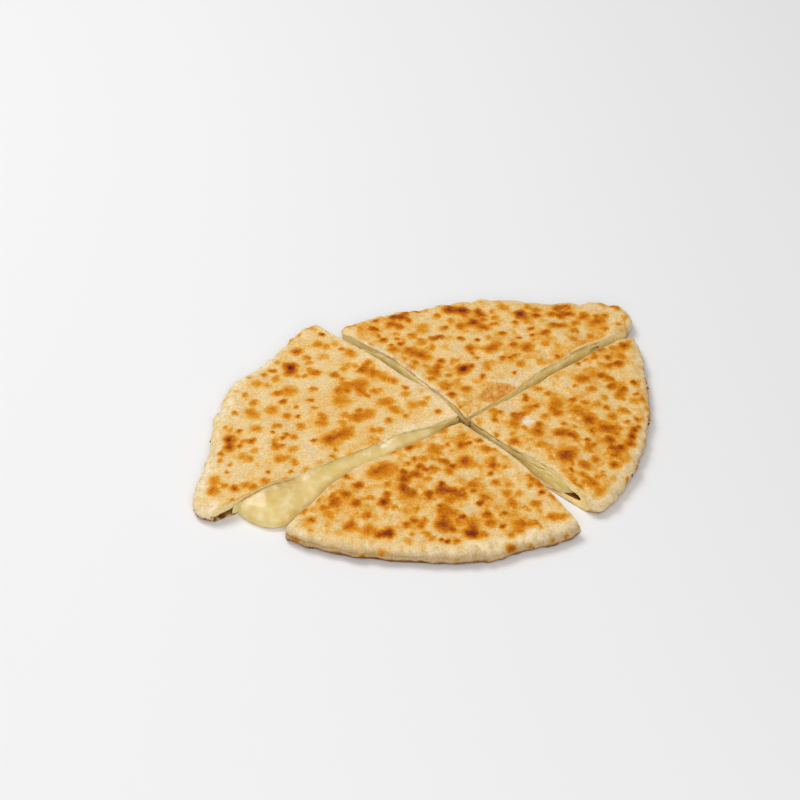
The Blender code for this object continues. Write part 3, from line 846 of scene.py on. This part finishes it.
loaf = {}
for order, (quarter, plan) in enumerate(PLANS.items()):
    draw = np.random.default_rng(40 + order)
    skin = dough_skin(plan)
    points, cut_share = np.vstack(skin.points), np.concatenate(skin.cut)
    flat, height = points[:, :2], points[:, 2]
    outer = 1.0 - cut_share
    rim = rim_line(plan, LINE_CELLS)
    from_rim, along_rim = distance_to(rim, flat)
    from_cut, along_cut = beside(plan.second_cut, flat)
    band = np.interp(along_rim, (0.1, 0.5), RIM_PALE[quarter])
    inner = smooth(from_rim + 2.0 * uneven(flat, 6.0, 30) - band, -PALE_FADE, PALE_FADE)
    heat = toasting(points, toast_marks(quarter, plan, draw)) * (0.35 + 0.65 * inner)
    wash = evenly_browned(plan, flat) * outer * (0.15 + 0.85 * inner)
    raw = RIM_RAW[quarter] * (1.0 - inner) * outer
    raw *= (0.75 + 0.45 * uneven(points, 3.5, 48)).clip(0, 1)
    # The underside touched the griddle too.
    under = fade(height + 0.9 * uneven(flat, 7.0, 46), 0.2, 2.0)
    under_heat = np.clip(0.75 + rough(flat, (0.2, 9.0, 31), (0.2, 3.5, 32)), 0.0, 1.0)
    heat = heat * (1.0 - under) + under_heat * under
    heat = np.maximum(heat, spotted(quarter, rim, points) * outer)
    bare_edge = bare_edges(quarter, plan, flat, along_cut) * outer
    heat *= 1.0 - 0.6 * bare_edge
    wash *= 1.0 - 0.6 * bare_edge
    raw = np.maximum(raw, 0.3 * bare_edge)
    # The crease round the rim is pressed in, and its darker colour is painted shade.
    seam, lip = seam_round_rim(quarter, points, from_rim, along_rim)
    folded = np.maximum(np.concatenate(skin.fold),
                        seam * outer * (0.7 + 0.3 * uneven(flat, 5.0, 40)))
    # The rim is darkened low down: painted shade where it faces away from the light, and lowest of
    # all the browned underside with painted contact shade beneath its tuck.
    low_down = height + 0.8 * uneven(flat, 5.0, 50)
    shaded_and_tanned = RIM_SHADE[quarter] * fade(low_down, 5.0, 9.0) + UNDER_SHADE * fade(low_down, 1.0, 3.6)
    folded = np.where(cut_share > 0.5, folded, np.maximum(folded, shaded_and_tanned))
    # The knife toasted nothing: cut dough is brown only along the griddled underside. Low down
    # where the cuts cross it is darkened too, as painted shade of the deep gaps there.
    edge_toast_and_shade = np.maximum(0.85 * np.exp(-height / 0.45), 0.8 * shade_at_crossing(points))
    whitened, peeled = np.zeros(len(points)), np.zeros(len(points))
    if quarter == "left":
        # The sheet's edge over the run cheese is crisp, and its open corner is burnt and crumbly.
        crisp = fade(from_cut, 0.2, 1.0) * smooth(along_cut, 0.60, 0.72)
        heat = np.maximum(heat, 0.34 * crisp * smooth(height, 6.0, 8.0))
        at_corner = fade(np.hypot(*(flat - plan.second_cut[-1]).T), 18.0, 28.0)
        crumbly = 1.0 - 0.85 * smooth(height, 3.2, 5.0)
        crumbly *= 0.70 + 0.60 * uneven(points, 1.6, 36)
        edge_toast_and_shade = np.clip(np.maximum(edge_toast_and_shade, at_corner * crumbly), 0.0, 1.0)
    if quarter == "back":
        # A pale, near-white line along the top of the second cut's edge.
        pale_top_edge = 0.25 * fade(from_cut, 0.4, 2.2) * smooth(height, 8.2, 9.6)
        whitened = pale_top_edge * smooth(along_cut, 0.05, 0.2)
    if quarter in WHITE_SPOT:
        x, y, radius = WHITE_SPOT[quarter]
        away = np.hypot(flat[:, 0] - x, flat[:, 1] - y) / radius + 0.3 * uneven(flat, 1.8, 37)
        whitened = 0.9 * fade(away, 0.2, 1.1) * outer
    if quarter in PEELED:
        # The peeled patch, and the flap of skin that came off it, folded back to one side.
        x, y, radius = PEELED[quarter]
        across, up = flat[:, 0] - x, flat[:, 1] - y
        away = np.hypot(across - 0.4 * up, 1.4 * up) / radius + 0.26 * uneven(flat, 3.4, 38)
        peeled = fade(away, 0.68, 1.02) * outer
        flap = between(away, (0.86, 1.0), (1.2, 1.5)) * smooth(across + 1.5 * up, 2.0, 9.0) * outer
        heat *= 1.0 - 0.7 * np.maximum(peeled, flap)
        wash *= 1.0 - flap
        whitened = np.maximum(whitened, 0.12 * flap)
    heat = np.where(cut_share > 0.5, edge_toast_and_shade, heat)
    round_rim = np.column_stack([along_rim * RIM_LENGTH, 0.35 * height])
    crinkles = uneven(round_rim, 6.0, 39) + 0.6 * uneven(points, 3.0, 47)
    amount = relief(points, heat) + SEAM_LIP * lip - SEAM_DEPTH * seam - PEELED_DEPTH * peeled
    amount += RIM_CRINKLE * crinkles * fade(from_rim, 4.0, 9.0)
    amount *= smooth(height, 0.0, 1.2) * outer
    shaped = leaned(quarter, stand_out(points, skin.faces, amount))
    piece = new_piece(f"griddled_dough_{quarter}", shaped, skin.faces, griddled_dough,
                      {"toast": heat, "cut": cut_share, "fold": folded,
                       "wash": wash, "raw": raw, "whitened": whitened, "peeled": peeled})
    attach(piece, "root")
    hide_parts(f"dough_{quarter}")
    loaf[quarter] = piece

# ---- The cheese --------------------------------------------------------------------------------
# Soft white cheese that melted between the sheets. It fills each pocket, swells a little at the
# cuts, and at the left quarter's front cut it has run down to the floor.
CHEESE_OVERLAP = 0.12       # it has stuck to the dough above and below it
CUT_SWELL = {"left": 0.5, "back": 1.1, "right": 0.6, "front": 0.5}
# How far the run cheese reaches, at distances along the cut from its inner end.
RUN_REACH = [(0, 5), (45, 7.4), (68, 9.2), (85, 12.5), (101, 17.5), (113, 21.0)]
RUN_STARTS = (3.0, 28.0)    # it starts between these distances
RUN_LIP = 1.8               # height of its rounded toe
RUN_UNDERCUT = 1.0
RUN_ENDS = (111.0, 121.5)   # its outer end turns round a corner between these,
RUN_SPREAD = 5.5            # reaches this far sideways
RUN_SQUARE = 0.6            # and is squarer than an ellipse, the less this is
LIP_REACH = 1.3             # it covers the sheet's cut edge and this much of its top
LIP_OVER = 0.25
LIP_STARTS = (4.0, 12.0)
LIP_ENDS = (84.0, 98.0)
SHADE_AND_TAN_GROWS = (75.0, 95.0)       # its browning and painted shade below the sheet's edge grow from here outwards
TOE_SHARE = 0.76            # share of the rows from the top down to its toe
UNDER_SHARE = 0.88          # and to where it turns back up, under the toe
LAYERED = (0.38, 0.52)      # the right quarter's front cut is in flaky layers from here outwards
FACE_LAYERS = 4
GROOVE_DEPTH = 0.9
# It stops one part in so many short of the pocket's end.
CHEESE_SHORT = {"left": 14, "back": 200, "right": 15, "front": 200}
CHEESE_CELLS = {"left": 168, "back": 112, "right": 112, "front": 112}
CHEESE_ROWS = 24


def run_place(share, toe, roof_z, edge_z, over_z, covering):
    """Reach and height of the run cheese: from under the sheet (0), up its cut edge, a little way
    onto its top, and down to the floor (1)."""
    up, on, off = (smooth(share, row / CHEESE_ROWS, (row + 2) / CHEESE_ROWS) for row in (0, 2, 4))
    start = 6 / CHEESE_ROWS
    slope = np.clip((share - start) / (TOE_SHARE - start), 0.0, 1.0) * 0.5 * math.pi
    under = smooth(share, TOE_SHARE, UNDER_SHARE)
    back = smooth(share, UNDER_SHARE, 1.0)
    lip = LIP_REACH * covering
    reach = 0.1 * up - (lip + 0.1) * on + (lip + 0.3) * off
    reach += (toe - 0.3) * np.sin(slope) - RUN_UNDERCUT * under
    top_z = roof_z + (edge_z - roof_z) * up + (over_z - edge_z) * on - 0.2 * off
    height = RUN_LIP + (top_z - RUN_LIP) * np.cos(slope)
    return reach * (1.0 - back) + 0.3 * back, height * (1.0 - under)


def cheese_skin(quarter, plan):
    """The closed surface of one quarter's cheese."""
    skin = Skin()
    cells = CHEESE_CELLS[quarter]
    keep = cells + 1 - cells // CHEESE_SHORT[quarter]
    grid = plan_grid(plan, plan.inset + POCKET_TURN, cells)[:keep, :keep]
    floor_z, roof_z = pocket_heights(plan, grid)
    roof_z, floor_z = roof_z + CHEESE_OVERLAP, floor_z - CHEESE_OVERLAP
    top = skin.add(grid, roof_z)
    skin.net(top)
    away, aside = np.zeros_like(grid), np.zeros_like(grid)
    away[:, 0] = right_of(grid[:, 0])
    away[0, :] = -right_of(grid[0, :])
    run, toe, covering, shaded_and_tanned, layered = (np.zeros_like(roof_z) for _ in range(5))
    edge_z, over_z = roof_z.copy(), roof_z.copy()
    if quarter == "right":
        layered[:, 0] = smooth(np.linspace(0.0, 1.0, keep), *LAYERED)
    if quarter == "left":
        along = way_along(grid[0, :])
        run[0, :] = smooth(along, *RUN_STARTS)
        turning = 0.5 * math.pi * np.interp(along, RUN_ENDS, (0.0, 1.0))
        narrowing = np.cos(turning).clip(0.0) ** RUN_SQUARE
        toe[0, :] = np.interp(along, *zip(*RUN_REACH)) * narrowing + 0.6
        aside[0, :] = along_line(grid[0, :]) * (RUN_SPREAD * np.sin(turning))[:, None]
        covering[0, :] = between(along, LIP_STARTS, LIP_ENDS)
        shaded_and_tanned[0, :] = 0.45 + 0.4 * smooth(along, *SHADE_AND_TAN_GROWS)
        top_z = top_height(plan, grid[0, :])
        edge_z[0, :] += (top_z - EDGE_ROUND - edge_z[0, :]) * covering[0, :]
        over_z[0, :] += (top_z + LIP_OVER - over_z[0, :]) * covering[0, :]
    line, away, aside, run, toe, upper, lower, edge_z, over_z, covering, shaded_and_tanned, layered = map(
        border_of, (grid, away, aside, run, toe, roof_z, floor_z, edge_z, over_z, covering, shaded_and_tanned,
                    layered))
    rows = [border_of(top)]
    for level in range(1, CHEESE_ROWS):
        share = level / CHEESE_ROWS
        swell = CUT_SWELL[quarter] * math.sin(math.pi * share) ** 0.6
        run_reach, run_height = run_place(share, toe, upper, edge_z, over_z, covering)
        sideways = math.sin(0.5 * math.pi * min(1.0, share / TOE_SHARE))
        flush = upper + (lower - upper) * share
        # Just below the sheet's edge the run cheese darkens: partly browned by the griddle, partly
        # painted shade under that edge. The grooves of the layered face are darkened as painted
        # shade.
        cheese_shade_and_tan = fade(share, 0.22, 0.48) * run * shaded_and_tanned
        waver = 1.3 * uneven(line, 23.0, 43) + 0.7 * uneven(line + 9.0 * share, 8.0, 44)
        groove = lines_between(FACE_LAYERS * share + waver)
        groove *= layered * smooth(uneven(line + 40.0 * share, 6.0, 45), -0.3, 0.6)
        reach = swell + (run_reach - swell) * run - GROOVE_DEPTH * groove
        rows.append(skin.add(line + away * reach[:, None] + aside * sideways,
                             flush + (run_height - flush) * run, fold=np.maximum(cheese_shade_and_tan, groove)))
    rows.append(skin.add(line, lower))
    loop = np.array(rows)
    skin.net(np.column_stack([loop, loop[:, 0]]))
    base = np.full(top.shape, -1)
    edge = border_of(np.arange(top.size).reshape(top.shape))
    base.reshape(-1)[edge] = rows[-1]
    inner = np.zeros(top.shape, dtype=bool)
    inner[1:-1, 1:-1] = True
    base[inner] = skin.add(grid[inner], floor_z[inner])
    skin.net(base, flip=True)
    return skin


# Melted white cheese: pale yellow, wet-looking and slightly see-through, with curds that did not
# melt. It darkens to a golden brown in streaks: browned by the griddle below the sheet's edge,
# where painted shade under that edge is added too, and as painted shade in its grooves and where
# the cuts cross.
melted_cheese, tree = empty_material("melted_white_cheese")
where = add_node(tree, "ShaderNodeTexCoord").outputs["Object"]
curds = coloured(tree, noise(tree, where, 0.006, 3.0, 0.55),
                 (0.33, "#e6cb7d"), (0.5, "#edd48e"), (0.67, "#f7e4b0"))
streaks = ranged(tree, noise(tree, where, 0.004, 4.0, 0.65), 0.35, 0.6, 0.35, 1.0)
cheese_shade_and_tan = add_node(tree, "ShaderNodeAttribute", attribute_name="cheese_shade_and_tan").outputs["Fac"]
streaked = worked_out(tree, "MULTIPLY", streaks, cheese_shade_and_tan)
finish_material(tree, {"Base Color": blended(tree, streaked, curds, linear("#c4953c")),
                       "Roughness": 0.24, "IOR": 1.45, "Specular IOR Level": 0.5,
                       "Subsurface Weight": 0.35, "Subsurface Radius": (1.0, 0.7, 0.35),
                       "Subsurface Scale": 0.003})

for quarter, plan in PLANS.items():
    skin = cheese_skin(quarter, plan)
    points = np.vstack(skin.points)
    lumps = rough(points, (0.5, 9.0, 41), (0.3, 3.6, 42)) * smooth(points[:, 2], 0.2, 1.5)
    shaped = leaned(quarter, stand_out(points, skin.faces, lumps))
    # Its darkening also takes painted shade low down where the cuts cross.
    piece = new_piece(f"melted_cheese_{quarter}", shaped, skin.faces, melted_cheese,
                      {"cheese_shade_and_tan": np.maximum(np.concatenate(skin.fold), shade_at_crossing(points))})
    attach(piece, "root")
    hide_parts(f"cheese_{quarter}")

# ---- The charred crumbs --------------------------------------------------------------------------
# Bits of dough that burnt hard on the griddle and stuck on: small bent flakes along the rims and at
# the open corner. The dark flakes where the cuts cross stand in for shade in the deep gaps there.
# Geometry Nodes set one flake on each seat.
SMALL_CRUMBS = 10           # on each rim
SMALL_LENGTH = (0.5, 0.8)   # the shortest, and how much longer they get
# The larger ones: share of the way round the rim, height and length.
BURNT_EDGES = {"left": [(0.50, 4.6, 2.2), (0.60, 4.4, 2.4), (0.70, 4.2, 2.4), (0.82, 4.4, 2.0),
                        (0.94, 2.0, 1.6), (0.965, 1.6, 1.4), (0.985, 1.8, 1.8)],
               "back": [(0.12, 5.0, 1.3)],
               "right": [(0.20, 4.8, 2.0), (0.42, 4.6, 2.4), (0.44, 3.8, 1.5), (0.62, 4.8, 2.8),
                         (0.64, 3.8, 2.0), (0.76, 5.0, 1.6)],
               "front": [(0.25, 2.6, 1.8), (0.80, 3.4, 1.3), (0.93, 3.8, 1.2)]}
# Those where the cuts cross, put there as painted shade of the deep gaps: place, height and length.
CROSSING_SHADE_FLAKES = {"left": [(-0.8, 2.0, 8.5, 1.7)], "back": [(2.6, 4.0, 8.0, 1.2)],
               "right": [(4.8, 0.2, 7.0, 1.3)],
               "front": [(0.6, -2.8, 9.0, 1.2), (2.6, -4.4, 8.0, 1.8)]}


def surface_of(piece):
    """Every point of a piece and which way it faces there."""
    places, facings = (np.empty(3 * len(piece.data.vertices)) for _ in range(2))
    piece.data.vertices.foreach_get("co", places)
    piece.data.vertex_normals.foreach_get("vector", facings)
    return places.reshape(-1, 3), facings.reshape(-1, 3)


seats, facings, lengths = [], [], []
draw = np.random.default_rng(71)
for quarter, plan in PLANS.items():
    wanted = list(BURNT_EDGES[quarter])
    for _ in range(SMALL_CRUMBS):
        wanted.append((draw.uniform(0.04, 0.96), draw.uniform(1.5, 5.0),
                       SMALL_LENGTH[0] + SMALL_LENGTH[1] * draw.random() ** 3))
    rim = rim_line(plan, LINE_CELLS)
    wanted = [(*at_share(rim, share), height, length) for share, height, length in wanted]
    places, normals = surface_of(loaf[quarter])
    for *place, length in wanted + CROSSING_SHADE_FLAKES[quarter]:
        nearest = np.argmin(np.linalg.norm(places - (place + crossing) * MM, axis=1))
        seats.append(places[nearest])
        facings.append(normals[nearest])
        lengths.append(length * MM)

# Charred dough: brown-black and brittle, with a faint gloss where fat has cooked into it.
charred_dough, tree = empty_material("charred_dough")
where = add_node(tree, "ShaderNodeTexCoord").outputs["Object"]
char_colour = coloured(tree, noise(tree, where, 0.0012),
                       (0.35, "#4a2c12"), (0.55, "#75481c"), (0.70, "#a8763a"))
finish_material(tree, {"Base Color": char_colour, "Roughness": 0.5, "IOR": 1.45,
                       "Specular IOR Level": 0.3})

# A flake is a small ball, made lumpy and pressed flat. Each stands on its seat, turned outwards and
# tumbled a little.
flake_tree = bpy.data.node_groups.new("flakes_on_seats", "GeometryNodeTree")
sockets = {}
for title, kind in (("Seats", "Geometry"), ("Width", "Float"), ("Thickness", "Float"),
                    ("Raggedness", "Float"), ("Seed", "Int")):
    sockets[title] = flake_tree.interface.new_socket(title, in_out="INPUT",
                                                     socket_type=f"NodeSocket{kind}")
flake_tree.interface.new_socket("Flakes", in_out="OUTPUT", socket_type="NodeSocketGeometry")
given = add_node(flake_tree, "NodeGroupInput").outputs


def step(kind, inputs, **settings):
    """What one more node of the flakes' tree gives."""
    return add_node(flake_tree, kind, inputs, **settings).outputs[0]


ball = step("GeometryNodeMeshIcoSphere", {"Radius": 0.5, "Subdivisions": 2})
ragged = add_node(flake_tree, "ShaderNodeTexNoise", {"Scale": 2.2, "Detail": 1.0})
shift = worked_out(flake_tree, "SUBTRACT", ragged.outputs["Color"], (0.5, 0.5, 0.5),
                   kind="VectorMath")
shift = step("ShaderNodeVectorMath", {0: shift, "Scale": given["Raggedness"]}, operation="SCALE")
lump = step("GeometryNodeSetPosition", {"Geometry": ball, "Offset": shift})
pressed = step("ShaderNodeCombineXYZ", {"X": 1.0, "Y": given["Width"], "Z": given["Thickness"]})
flake = step("GeometryNodeTransform", {"Geometry": lump, "Scale": pressed})
facing, length = (step("GeometryNodeInputNamedAttribute", {"Name": title}, data_type=kind)
                  for title, kind in (("facing", "FLOAT_VECTOR"), ("length", "FLOAT")))
turned_out = step("FunctionNodeAlignRotationToVector", {"Vector": facing}, axis="Z")
tumble = step("FunctionNodeRandomValue", {0: (-0.5, -0.5, -3.1), 1: (0.5, 0.5, 3.1),
                                          "Seed": given["Seed"]}, data_type="FLOAT_VECTOR")
tumbled = step("FunctionNodeEulerToRotation", {0: tumble})
turned = step("FunctionNodeRotateRotation", {"Rotation": turned_out, "Rotate By": tumbled},
              rotation_space="LOCAL")
placed = step("GeometryNodeInstanceOnPoints", {"Points": given["Seats"], "Instance": flake,
                                               "Rotation": turned, "Scale": length})
made_real = step("GeometryNodeRealizeInstances", {0: placed})
painted = step("GeometryNodeSetMaterial", {"Geometry": made_real, "Material": charred_dough})
add_node(flake_tree, "NodeGroupOutput", {0: painted})

seat_mesh = bpy.data.meshes.new("seats")
seat_mesh.from_pydata(seats, [], [])
for title, kind, field, values in (("facing", "FLOAT_VECTOR", "vector", facings),
                                   ("length", "FLOAT", "value", lengths)):
    stored = seat_mesh.attributes.new(title, kind, "POINT")
    stored.data.foreach_set(field, np.array(values, dtype=np.float32).reshape(-1))
holder = put("seats", seat_mesh)
growing = holder.modifiers.new("flakes", "NODES")
growing.node_group = flake_tree
for title, value in (("Width", 0.62), ("Thickness", 0.32), ("Raggedness", 0.55), ("Seed", 5)):
    growing[sockets[title].identifier] = value
grown = holder.evaluated_get(bpy.context.evaluated_depsgraph_get())
crumb_mesh = bpy.data.meshes.new_from_object(grown)
bpy.data.objects.remove(holder)
crumb_mesh.name = "charred_crumbs_and_shade_flakes"
crumb_mesh.shade_smooth()
crumbs = put("charred_crumbs_and_shade_flakes", crumb_mesh)
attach(crumbs, "root")

# ---- The floor, the light and the camera ---------------------------------------------------------
# A pale studio floor under a large soft light from behind and to the left, and an even white room.
FLOOR_SIZE = 12.0
half = 0.5 * FLOOR_SIZE
floor_mesh = bpy.data.meshes.new("floor")
floor_mesh.from_pydata([(-half, -half, 0), (half, -half, 0), (half, half, 0), (-half, half, 0)], [],
                       [(0, 1, 2, 3)])
floor_paint, tree = empty_material("pale_studio_floor")
finish_material(tree, {"Base Color": linear("#f4f4f5"), "Roughness": 0.6})
floor_mesh.materials.append(floor_paint)
floor = put("floor", floor_mesh)

room = bpy.data.worlds.new("white_room")
room.use_nodes = True
background = room.node_tree.nodes["Background"].inputs
background["Color"].default_value = linear("#ffffff")
background["Strength"].default_value = 0.34
bpy.context.scene.world = room


def soft_light(name, place, size, power):
    """A square area light that faces the middle of the floor."""
    lamp = bpy.data.lights.new(name, "AREA")
    lamp.size = size
    lamp.energy = power
    x, y, z = place
    holder = put(name, lamp)
    holder.location = place
    holder.rotation_euler = (math.atan2(math.hypot(x, y), z), 0.0, math.atan2(-x, y) + math.pi)


soft_light("window_light", (-0.5, 0.55, 1.1), 0.6, 8.4)
soft_light("front_reflector", (0.1, -1.15, 1.0), 1.0, 9.5)

CAMERA_AIM = (-31.0, 28.0, 0.0)     # from the crossing, in millimetres
CAMERA_DISTANCE = 2.0
CAMERA_RISE = math.radians(41.3)
camera = bpy.data.cameras.new("camera")
camera.lens = 173.7
camera.clip_end = 50.0
viewer = put("camera", camera)
towards = np.array([0.0, -math.cos(CAMERA_RISE), math.sin(CAMERA_RISE)])
viewer.location = (crossing + CAMERA_AIM) * MM + CAMERA_DISTANCE * towards
viewer.rotation_euler = (0.5 * math.pi - CAMERA_RISE, 0.0, 0.0)
bpy.context.scene.camera = viewer
bpy.context.scene.view_settings.view_transform = "Standard"
